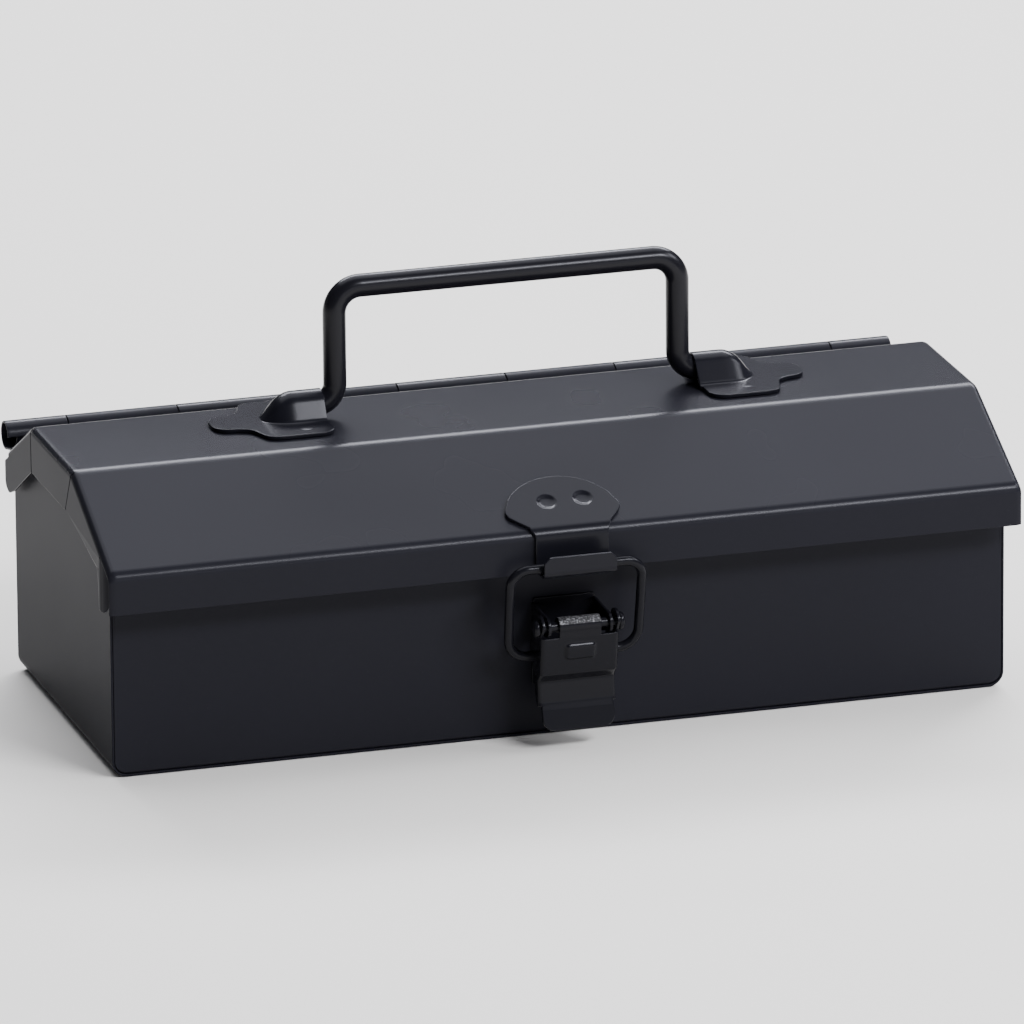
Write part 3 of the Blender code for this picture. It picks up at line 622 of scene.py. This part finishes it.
def lid():
    """One blank: skirt, slopes and top, three folded flaps at each end, rolled knuckles."""
    ridge, lower, steps = 11.0, 5.2, 10     # bend radii at the top's edges and above the skirt
    slope_z = TOP_Z - BACK_SLOPE * (SLOPE_END - TOP_BACK)
    profile = path_of([(LID_FRONT, SKIRT_BOTTOM), (LID_FRONT, SKIRT_TOP), (TOP_FRONT, TOP_Z),
                       (TOP_BACK, TOP_Z), (SLOPE_END, slope_z)], [lower, ridge, ridge], steps)
    slope = 2 + steps                       # where the end fold starts, a little up the front slope
    climb = (TOP_Z - SKIRT_TOP) / (TOP_FRONT - LID_FRONT)
    profile.insert(slope, (FOLD_END, SKIRT_TOP + (FOLD_END - LID_FRONT) * climb))
    normals = normals_of(profile)
    front_ridge = slope + 1 + steps // 2    # middle of the front ridge
    back_ridge = front_ridge + 1 + steps    # middle of the back ridge
    touch = tangent_angle(SLOPE_END, slope_z, ROLL_INNER, 1)
    tail = [(SLOPE_END, slope_z)] + arc((HINGE_Y, HINGE_Z), ROLL_INNER, touch % 360 - 360, 175, 40)
    flat_x = LID_X - END_BEND
    spans = knuckle_spans(0)
    stops = sorted({x for span in spans for x in span} | {-flat_x, flat_x})
    pairs = list(zip(stops, stops[1:]))
    sheet = Sheet()
    for low, high in pairs:
        if -flat_x <= low and high <= flat_x:
            sheet.strip([(low, y, z) for y, z in profile], [(high, y, z) for y, z in profile])
    for low, high in pairs:
        if any(start <= low and high <= end for start, end in spans):
            sheet.strip([(low, y, z) for y, z in tail], [(high, y, z) for y, z in tail])
    for side in (-1, 1):
        edge = end_fold(sheet, side, profile, normals, slope, (front_ridge, back_ridge))
        end_flaps(sheet, side, edge, front_ridge - slope, back_ridge - slope)
        tab(sheet, side, edge[0][0], edge[0][1], climb)
    shell = soften(sheet.finish("lid_sheet", SHEET, (0, LID_FRONT - 500, 75)))
    for material in (lid_paint, wrap_paint, body_paint):
        shell.data.materials.append(material)
    for polygon in shell.data.polygons:     # flaps take the ends' paint, the skirt the front's
        x, y, z = polygon.normal
        if abs(x) > 0.95:
            polygon.material_index = 1
        elif polygon.center.y < -60.0 * MM and abs(y) > 0.25 and z < 0.25:
            polygon.material_index = 2
    return settle(shell, "lid", ["lid_shell"], lid_paint)


lid()


def bracket(node, side):
    """Pressed plate with the hood over one foot of the handle, and its two weld marks."""
    base = TOP_Z + GAP + PLATE + 0.25
    axis = HANDLE_Z - base
    hood, base_half = 6.35, 9.9             # radius of the arch, half width of the hood's foot
    mouth, full, tip = 73.6, 85.0, 98.0     # where the hood opens, starts to fall, and ends
    lean = 0.4 if side < 0 else 2.0         # the front wall leans out more on the right bracket
    mark_x = 84.0 if side < 0 else 91.0
    # the nose: shares of its length, and the height that is left there
    falls = [(0.0, 1.0), (0.1, 0.99), (0.2, 0.96), (0.3, 0.905), (0.4, 0.835), (0.5, 0.74),
             (0.58, 0.635), (0.66, 0.505), (0.74, 0.37), (0.82, 0.235), (0.9, 0.11), (0.95, 0.045),
             (0.98, 0.012), (1.0, 0.0)]

    def at(x, y, z=0.0):
        return (HANDLE_X + side * x, HANDLE_Y + y, base + z)

    def section(x, wide, high):
        """Foot flare, leaning wall, arch, wall and foot flare across the hood."""
        foot = [(-base_half, 0.0), (-9.2, 0.12), (-8.7, 0.45), (-8.35, 0.85), (-8.1, 1.3)]
        arch = arc((0.0, axis), hood, 157 - 6 * lean, 25, 22)
        line = [(y - lean, z) for y, z in foot] + arch + [(-y, z) for y, z in foot[::-1]]
        return [at(x, y * wide, z * high) for y, z in line]

    rings = [section(x, 1.0, 1.0) for x in spread(mouth, full, 4)[:-1]]
    for u, high in falls[:-1]:
        rings.append(section(full + (tip - full) * u, max(1 - u ** 2.5, 0.01) ** 0.55, high))
    rings.append([at(tip, 0.0)] * len(rings[0]))
    sheet = Sheet()
    sheet.loft(rings)
    front, back = [ring[0] for ring in rings], [ring[-1] for ring in rings]
    # the plate's inner edge, and how much further it reaches forwards and outwards
    inner, ahead, shift = (73.2, 0.5, 0.0) if side < 0 else (74.4, 2.5, 1.3)
    corners = [(inner, 22.5), (96.0 + shift, 22.5), (100.6 + shift, 21.0),
               (104.0 + shift, 11.2), (109.0 + shift, 8.9), (117.4, 8.2), (117.4, -8.2),
               (109.0 + shift, -8.9), (104.0 + shift, -11.2), (100.6 + shift, -21.0 - ahead),
               (96.0 + shift, -22.5 - ahead), (inner, -22.5 - ahead)]
    rim = outline_of(corners, [6.5, 5, 4.5, 5, 4, 6.5, 6.5, 4, 5, 4.5, 5, 6.5], 7)
    sheet.face(front + back[::-1][1:] + [at(inner, base_half + 0.3)]
               + [at(x, y) for x, y in rim] + [at(inner, -base_half - lean - 0.3)])
    # thicker than the CAD's plate, which closes most of the gap under it
    plate = sheet.finish(node + "_plate", PLATE + 0.4,
                         (HANDLE_X + side * mouth, HANDLE_Y - 90, base + 5), even=False)
    soften(plate, 0.38, 48, 3)
    dome = [(0.0, 0.16), (0.8, 0.15), (1.5, 0.11), (2.1, 0.05), (2.6, 0.0), (2.6, -0.2),
            (0.0, -0.2)]
    marks = [turned(node + "_" + name, dome, at(mark_x, y), (0, 0, 1), 32, edge=0)
             for name, y in (("front", -15.6), ("back", 15.6))]
    return settle(join(plate, *marks), "lid", [node], fitting_paint)


bracket("handle_bracket_left", -1)
bracket("handle_bracket_right", 1)


def catch():
    """The fan welded to the slope, folded over the ridge and down into the hook."""
    rise, reach = TOP_Z - SKIRT_TOP, TOP_FRONT - LID_FRONT
    length = sqrt(rise ** 2 + reach ** 2)
    up = Vector((reach / length, rise / length))
    lift = GAP + PLATE
    front = LID_FRONT - lift
    fold = Vector((front, SKIRT_TOP + lift * (1.0 - up.y) / up.x))
    head = fold + up * 6.0                  # a point on the slope, beyond the bend
    flare, flare_run, lip_corner = 1.8, 5.0, 2.3
    line = path_of([tuple(head), tuple(fold), (front, TROUGH_Z), (LIP_OUT, TROUGH_Z),
                    (LIP_OUT, LIP_TOP - lip_corner)], [5.4, 2.6, 2.4], 9)[1:]
    begin = (Vector(line[0]) - fold).length

    def on_slope(x, along, depth=0.0):
        """A point on the fan, measured up the slope from the fold."""
        y, z = fold + up * along - Vector((-up.y, up.x)) * depth
        return (LATCH_X + x, y, z)

    # the fan's round end, and its shoulders down to the neck
    cap = arc((-0.5, 6.6), 23.3, 28, 152, 36)
    neck, shoulder, shoulder_round = CATCH_HALF + flare, 10.8, 5.0
    right = fillet((neck, begin), (22.5, shoulder), cap[0], shoulder_round, 9)
    left = fillet(cap[-1], (-23.9, shoulder), (-neck, begin), shoulder_round, 9)
    fan = [(neck, begin)] + right + cap[1:-1] + left + [(-neck, begin)]
    sheet = Sheet()
    rows = []
    run = 0.0                               # how far the strip has come from the fan
    for i, (y, z) in enumerate(line):
        if i:
            run += hypot(y - line[i - 1][0], z - line[i - 1][1])
        half = CATCH_HALF + flare * (1 - smoothstep(run / flare_run))
        rows.append([(LATCH_X + x, y, z) for x in (-half, half)])
    sheet.loft(rows)
    sheet.face([rows[-1][0], rows[-1][1],
                (LATCH_X + CATCH_HALF - lip_corner, LIP_OUT, LIP_TOP),
                (LATCH_X - CATCH_HALF + lip_corner, LIP_OUT, LIP_TOP)])
    dishes = []
    # a spot weld's dish: radius and depth, from the rim inwards
    profile = [(4.3, 0.0), (4.0, 0.03), (3.6, 0.16), (3.1, 0.42), (2.6, 0.62), (2.0, 0.74),
               (1.2, 0.80), (0.6, 0.82)]
    for x, along in ((-5.6, 16.3), (8.7, 16.6)):
        rings = [[on_slope(x + r * cos(a), along + r * sin(a), depth) for a in full_turn(32)]
                 for r, depth in profile]
        dishes.append(rings[0])
        for near, far in zip(rings, rings[1:]):
            sheet.strip(near + near[:1], far + far[:1])
        sheet.face(rings[-1])
    sheet.region([[on_slope(x, along) for x, along in fan]] + dishes)
    plate = sheet.finish("catch_hook", PLATE + 0.15, (0, -500, 300))
    return settle(soften(plate, 0.34, segments=3), "lid", ["catch_plate"], fitting_paint)


catch()


# ---------------------------------------------------------------- handle
def handle_bar():
    """One round bar: a foot in each hood, two legs and the grip."""
    half = [(ROD_END, HANDLE_Z), (LEG_X, HANDLE_Z), (LEG_X, GRIP_Z)]
    corners = half + [(-x, z) for x, z in half[::-1]]
    bar = rod("handle_rod", path_of([(HANDLE_X + x, HANDLE_Y, z) for x, z in corners],
                                    [FOOT_BEND, GRIP_BEND, GRIP_BEND, FOOT_BEND], 16), ROD, 48)
    return settle(bar, "handle", ["handle_bar"], handle_paint)


handle_bar()


# ---------------------------------------------------------------- latch
BASE_RIVETS = (("lower", 25.0), ("upper", 35.5))


def latch_base():
    """The plate on the front panel, with an ear folded forward at each side for the pin."""
    face = -BODY_Y - GAP
    low, high, fold = 20.0, 54.5, 1.0
    left, right = LATCH_X - EAR_HALF, LATCH_X + EAR_HALF
    ear_low, ear_high, ear_round = LEVER_PIN_Z - 9.0, LEVER_PIN_Z + 4.2, 3.9
    sheet = Sheet()
    heights = [low, ear_low, ear_high, high]
    sheet.strip([(left + fold, face, z) for z in heights],
                [(right - fold, face, z) for z in heights])
    for side, edge in ((-1, left), (1, right)):
        sheet.face([(edge - side * fold, face, low), (edge, face, low + 1.2),
                    (edge, face, ear_low - 0.6), (edge - side * fold, face, ear_low)])
        sheet.face([(edge - side * fold, face, ear_high), (edge - side * 0.2, face, ear_high + 0.4),
                    (edge - side * 0.6, face, high - 0.4), (edge - side * fold, face, high)])
        rows = []
        for turn in quarter_turn(5):
            x = edge - side * fold * (1 - sin(turn))
            y = face - fold * (1 - cos(turn))
            rows.append([(x, y, ear_low), (x, y, ear_high)])
        sheet.loft(rows)
        ear = arc((LEVER_PIN_Y, LEVER_PIN_Z), ear_round, -75, -285, 24)
        sheet.face([(edge, y, z) for y, z in ear + [(face - fold, ear_high), (face - fold, ear_low)]])
    base = sheet.finish("latch_bracket", PLATE, (0, 500, 20))
    bake(base)
    drill(base, (LATCH_X, LEVER_PIN_Y, LEVER_PIN_Z), (1, 0, 0), PIN_R + 0.2, 60)
    for name, z in BASE_RIVETS:
        drill(base, (LATCH_X, face, z), (0, 1, 0), RIVET_HOLE, 8)
    return settle(soften(base, 0.22), "body", ["latch_base"], latch_paint)


def latch_lever():
    """Pressed channel: rounded flanks, embossed pad, crease, flared lip and curled tongue."""
    bend, tongue = 1.6, 8.2                 # radius of the flanks, half width of the tongue
    face = path_of([(-91.1, 44.8), (-88.9, 29.8), (-85.7, 26.4), (-86.3, 18.1), (-87.5, 15.4),
                    (-90.1, 7.9)], [2.4, 1.8, 3.0, 3.4], 5)
    fine = []
    for (y0, z0), (y1, z1) in zip(face, face[1:]):
        count = max(1, round(hypot(y1 - y0, z1 - z0) / 0.45))
        fine += [(y0 + (y1 - y0) * i / count, z0 + (z1 - z0) * i / count) for i in range(count)]
    fine.append(face[-1])
    normals = [(-a, -b) for a, b in normals_of(fine)]       # outwards, to the front
    flat = LEVER_HALF - bend
    columns = (spread(-flat, -tongue, 12)[:-1] + spread(-tongue, tongue, 36)[:-1]
               + spread(tongue, flat, 12))

    def emboss(x, z):
        """Height of the pressed pad, a rounded rectangle, above the face."""
        height, slant, corner = 1.0, 1.5, 2.0
        away_x, away_z = abs(x - 0.2) - 6.4 + corner, abs(z - 38.9) - 3.6 + corner
        outside = (hypot(max(away_x, 0.0), max(away_z, 0.0)) + min(max(away_x, away_z), 0.0)
                   - corner)
        return height * smoothstep(-outside / slant)

    cheek_end = max(i for i, (y, z) in enumerate(fine) if z > 17.2)
    lip_corner, lip_half = 4.8, 14.15

    def half_width(index):
        """Half the width of the face, and of the lip with its rounded corners."""
        if index <= cheek_end:
            return flat
        left_over = hypot(fine[index][0] - fine[-1][0], fine[index][1] - fine[-1][1])
        cut = max(lip_corner - left_over, 0.0)
        return lip_half - lip_corner + sqrt(max(lip_corner ** 2 - cut ** 2, 0.0))

    sheet = Sheet()
    rows = []
    for index, ((y, z), (ny, nz)) in enumerate(zip(fine, normals)):
        row = []
        for x in columns:
            rise = emboss(x, z)
            row.append((LATCH_X + x * half_width(index) / flat, y + ny * rise, z + nz * rise))
        rows.append(row)
    sheet.loft(rows)
    for side in (-1, 1):
        rings = []
        for turn in quarter_turn(5):
            x = LATCH_X + side * (flat + bend * sin(turn))
            drop = bend * (1 - cos(turn))
            rings.append([(x, y - ny * drop, z - nz * drop)
                          for (y, z), (ny, nz) in zip(fine, normals)][:cheek_end + 1])
        sheet.loft(rings)
        # the cheek's edge: over the pin, down the back and round the bail's foot
        eye = arc((LEVER_PIN_Y, LEVER_PIN_Z), 5.0, 168, 8, 20)
        back = [(-80.0, 45.4), (BAIL_Y + 3.4, 40.0)] + arc((BAIL_Y, BAIL_Z), 3.9, 25, -60, 8)
        back += [(-81.2, 27.0), (-82.6, 20.0)]
        edge = [(y, z) for x, y, z in rings[-1]]
        x = LATCH_X + side * LEVER_HALF
        sheet.face([(x, y, z) for y, z in edge + back[::-1] + eye[::-1]])
    curl = PIN_R + 0.35 + PLATE
    wrap = arc((LEVER_PIN_Y, LEVER_PIN_Z), curl, 205, -60, 36)
    inner_columns = [x for x in columns if abs(x) <= tongue + 1e-6]
    sheet.loft([[(LATCH_X + x, y, z) for x in inner_columns] for y, z in [fine[0]] + wrap])
    lever = sheet.finish("latch_lever_pressing", PLATE, (0, -500, 20))
    bake(lever)
    drill(lever, (LATCH_X, LEVER_PIN_Y, LEVER_PIN_Z), (1, 0, 0), PIN_R + 0.2, 60)
    drill(lever, (LATCH_X, BAIL_Y, BAIL_Z), (1, 0, 0), WIRE + 0.2, 60)
    soften(lever, 0.24)
    lever.data.materials.append(latch_paint)
    lever.data.materials.append(grain_and_glint_paint)
    for polygon in lever.data.polygons:     # the top of the curled tongue is grained, and its upward faces take pale flecks of painted highlight
        x, y, z = polygon.center / MM
        if z > 50.0 and abs(x - LATCH_X) < tongue + 0.3 and polygon.normal.z > 0.45:
            polygon.material_index = 1
    return settle(lever, "lever", ["latch_lever"], latch_paint)


def bail():
    """The wire loop, its feet in the lever's cheeks and its far side in the hook."""
    foot_in = LEVER_HALF - PLATE - 1.0
    left_foot = 0.9 - BAIL_HALF             # the left leg leans in a little

    def at(x, along):
        """A point in the loop's plane, measured from the pivot."""
        return (LATCH_X + x, BAIL_Y - along * sin(BAIL_LEAN), BAIL_Z + along * cos(BAIL_LEAN))

    corners = [(foot_in, 0.0), (BAIL_HALF, 0.0), (BAIL_HALF, BAIL_LENGTH),
               (-BAIL_HALF, BAIL_LENGTH), (left_foot, 0.0), (-foot_in, 0.0)]
    wire = rod("bail_loop", path_of([at(x, a) for x, a in corners], [8, 7, 7, 8], 14), WIRE, 28,
               0.4)
    return settle(wire, "bail", ["bail_wire"], latch_paint)


def rivet(name, node, body, centre, axis, head, reach, shank=1.5):
    """A domed rivet: head radius, shank length below the head."""
    dome = [(0.0, head * 0.5)] + [(head * sin(radians(a)), head * 0.5 * cos(radians(a)))
                                  for a in range(12, 91, 13)]
    profile = dome + [(head, 0.0), (shank, 0.0), (shank, -reach), (0.0, -reach)]
    made = turned(name, profile, centre, axis, 32, edge=0)
    return settle(made, body, [node], latch_paint)


def latch_pin():
    """The lever's pin, with a domed head at each end."""
    reach, head = LEVER_HALF + 0.4, 2.4
    half = [(PIN_R, reach), (PIN_HEAD_R - 0.25, reach), (PIN_HEAD_R, reach + 0.3),
            (PIN_HEAD_R, reach + 1.0), (3.15, reach + 1.6), (2.4, reach + 2.1),
            (1.2, reach + head), (0.0, reach + head)]
    profile = [(radius, -height) for radius, height in half[::-1]] + half
    pin = turned("latch_pin_headed", profile, (LATCH_X, LEVER_PIN_Y, LEVER_PIN_Z), (1, 0, 0), 40,
                 edge=0)
    return settle(pin, "body", ["latch_pin"], latch_paint)


latch_base()
latch_lever()
bail()
latch_pin()
for name, z in BASE_RIVETS:
    rivet("latch_rivet_" + name + "_head", "latch_rivet_" + name, "body",
          (LATCH_X, -BODY_Y - GAP - PLATE - HEAD_GAP, z), (0, -1, 0), 2.7, PLATE + GAP - 0.2)


# ---------------------------------------------------------------- tray
STRAP = 1.5
STRAP_Y = TRAY_Y - SHEET - GAP              # the strap's outer face, a gap inside the pan's wall
STRAP_RIVET_Z = TRAY_Z + TRAY_HEIGHT - 10.0


def tray_pan():
    """Pressed pan: rounded corners and a rounded foot."""
    foot = 3.0

    def rim(inset):
        corners = [(TRAY_X - inset, -TRAY_Y + inset), (TRAY_X - inset, TRAY_Y - inset),
                   (-TRAY_X + inset, TRAY_Y - inset), (-TRAY_X + inset, -TRAY_Y + inset)]
        return outline_of(corners, [TRAY_CORNER - inset] * 4, 12)

    sheet = Sheet()
    rows = []
    for turn in quarter_turn(8):
        line = rim(foot * (1 - sin(turn)))
        rows.append([(x, y, TRAY_Z + foot * (1 - cos(turn))) for x, y in line])
    rows.append([(x, y, TRAY_Z + TRAY_HEIGHT) for x, y in rim(0.0)])
    sheet.face(rows[0])
    sheet.loft([row + row[:1] for row in rows])
    pan = sheet.finish("tray_pressing", SHEET, (0, 0, TRAY_Z - 500))
    return settle(soften(pan, 0.3), "tray", ["tray_pan"], tray_paint)


def tray_divider(node, x):
    """A wall across the tray, its foot bent along the pan's floor and its corners cut."""
    foot, low_cut, top_cut = 8.0, 3.0, 4.0
    half = TRAY_Y - SHEET - GAP
    low = TRAY_Z + SHEET + GAP
    top = TRAY_Z + TRAY_HEIGHT - 5.0
    line = path_of([(x + foot, low + SHEET), (x, low + SHEET), (x, top)], [1.2], 6)
    bent, wall_low = line[:-1], line[-2][1]
    back = [(half - low_cut, wall_low), (half, wall_low + low_cut), (half, top - top_cut),
            (half - top_cut * 0.3, top - top_cut * 0.3), (half - top_cut, top)]
    sheet = Sheet()
    sheet.strip([(along, half - low_cut, z) for along, z in bent],
                [(along, low_cut - half, z) for along, z in bent])
    sheet.face([(x, y, z) for y, z in back + [(-y, z) for y, z in back[::-1]]])
    wall = sheet.finish(node + "_wall", SHEET, (x + 4.0, 0, 500))
    return settle(soften(wall, 0.22), "tray", [node], tray_paint)


def tray_handle():
    """A strap over the tray from one long wall to the other, riveted inside both."""
    half_wide, rise = 8.0, 17.0
    foot = STRAP_RIVET_Z - 6.0
    rim, top = TRAY_Z + TRAY_HEIGHT - 2.0, TRAY_Z + TRAY_HEIGHT + rise
    path = path_of([(-STRAP_Y, foot), (-STRAP_Y, rim), (-24.0, top), (24.0, top), (STRAP_Y, rim),
                    (STRAP_Y, foot)], [5, 12, 12, 5], 10)
    sheet = Sheet()
    sheet.loft([[(x, y, z) for x in (-half_wide, half_wide)] for y, z in path])
    for y in (-STRAP_Y, STRAP_Y):
        sheet.face([(x, y, z) for x, z in
                    [(-half_wide, foot)] + arc((0.0, foot), half_wide, 180, 360, 16)[1:-1]
                    + [(half_wide, foot)]])
    strap = sheet.finish("tray_strap", STRAP, (0, -500, foot + 4))
    bake(strap)
    for side in (-1, 1):
        drill(strap, (0, side * STRAP_Y, STRAP_RIVET_Z), (0, 1, 0), RIVET_HOLE, 8)
    return settle(soften(strap, 0.35), "tray", ["tray_handle"], fitting_paint)


tray_pan()
tray_divider("tray_divider_left", -DIVIDER_X)
tray_divider("tray_divider_right", DIVIDER_X)
tray_handle()
for name, side in (("front", -1), ("back", 1)):
    rivet("tray_rivet_" + name + "_head", "tray_rivet_" + name, "tray",
          (0, side * (STRAP_Y - STRAP - HEAD_GAP), STRAP_RIVET_Z), (0, -side, 0), 2.8, 1.8)


# ---------------------------------------------------------------- stage
SOFT = (0.90, 0.91, 1.0)


def floor():
    """A wide pale plane, just under the box so that the two faces don't fight."""
    bpy.ops.mesh.primitive_plane_add(size=60.0, location=(0.0, 0.0, -0.0003))
    plane = bpy.context.object
    plane.name = "floor"
    made = bpy.data.materials.new("pale_floor")
    made.use_nodes = True
    shader = made.node_tree.nodes["Principled BSDF"]
    shader.inputs["Base Color"].default_value = (0.90, 0.88, 0.80, 1.0)
    shader.inputs["Roughness"].default_value = 0.7
    shader.inputs["Specular IOR Level"].default_value = 0.2
    plane.data.materials.append(made)


def world():
    """A dim, slightly blue surround."""
    made = bpy.data.worlds.new("studio")
    made.use_nodes = True
    background = made.node_tree.nodes["Background"]
    background.inputs["Color"].default_value = (0.82, 0.86, 1.0, 1.0)
    background.inputs["Strength"].default_value = 0.10
    bpy.context.scene.world = made


def softbox(name, place, target, wide, high, power):
    """A rectangular soft light in metres and watts, turned to face a target."""
    data = bpy.data.lights.new(name, "AREA")
    data.shape = "RECTANGLE"
    data.size, data.size_y = wide, high
    data.energy = power
    data.color = SOFT
    lamp = link(bpy.data.objects.new(name, data))
    lamp.location = place
    lamp.rotation_mode = "QUATERNION"
    lamp.rotation_quaternion = (Vector(target) - Vector(place)).to_track_quat("-Z", "Y")


def camera():
    """A long lens, far off, turned to a target and rolled a little."""
    place, target = Vector((-1.41856, -4.70099, 1.63947)), Vector((0.00185, 0.00130, 0.06557))
    roll = radians(-0.4197)
    data = bpy.data.cameras.new("camera")
    data.sensor_width = 36.0
    data.lens = 475.6
    data.clip_start, data.clip_end = 0.1, 100.0
    eye = link(bpy.data.objects.new("camera", data))
    facing = (target - place).to_track_quat("-Z", "Y").to_matrix() @ Matrix.Rotation(roll, 3, "Z")
    eye.matrix_world = Matrix.Translation(place) @ facing.to_4x4()
    bpy.context.scene.camera = eye


floor()
world()
softbox("overhead", (0.1, 0.55, 1.7), (0.0, 0.0, 0.05), 2.2, 1.3, 28.0)
softbox("behind", (0.8, 2.4, 2.1), (0.0, 0.0, 0.1), 3.4, 0.8, 175.0)
softbox("key", (1.08, -1.67, 1.67), (0.0, 0.0, 0.08), 1.3, 0.4, 78.0)
softbox("side", (2.3, -0.5, 1.7), (0.0, 0.0, 0.1), 1.2, 0.9, 40.0)
softbox("fill", (0.5, -2.8, 0.45), (0.0, 0.0, 0.05), 2.4, 0.8, 12.0)
camera()
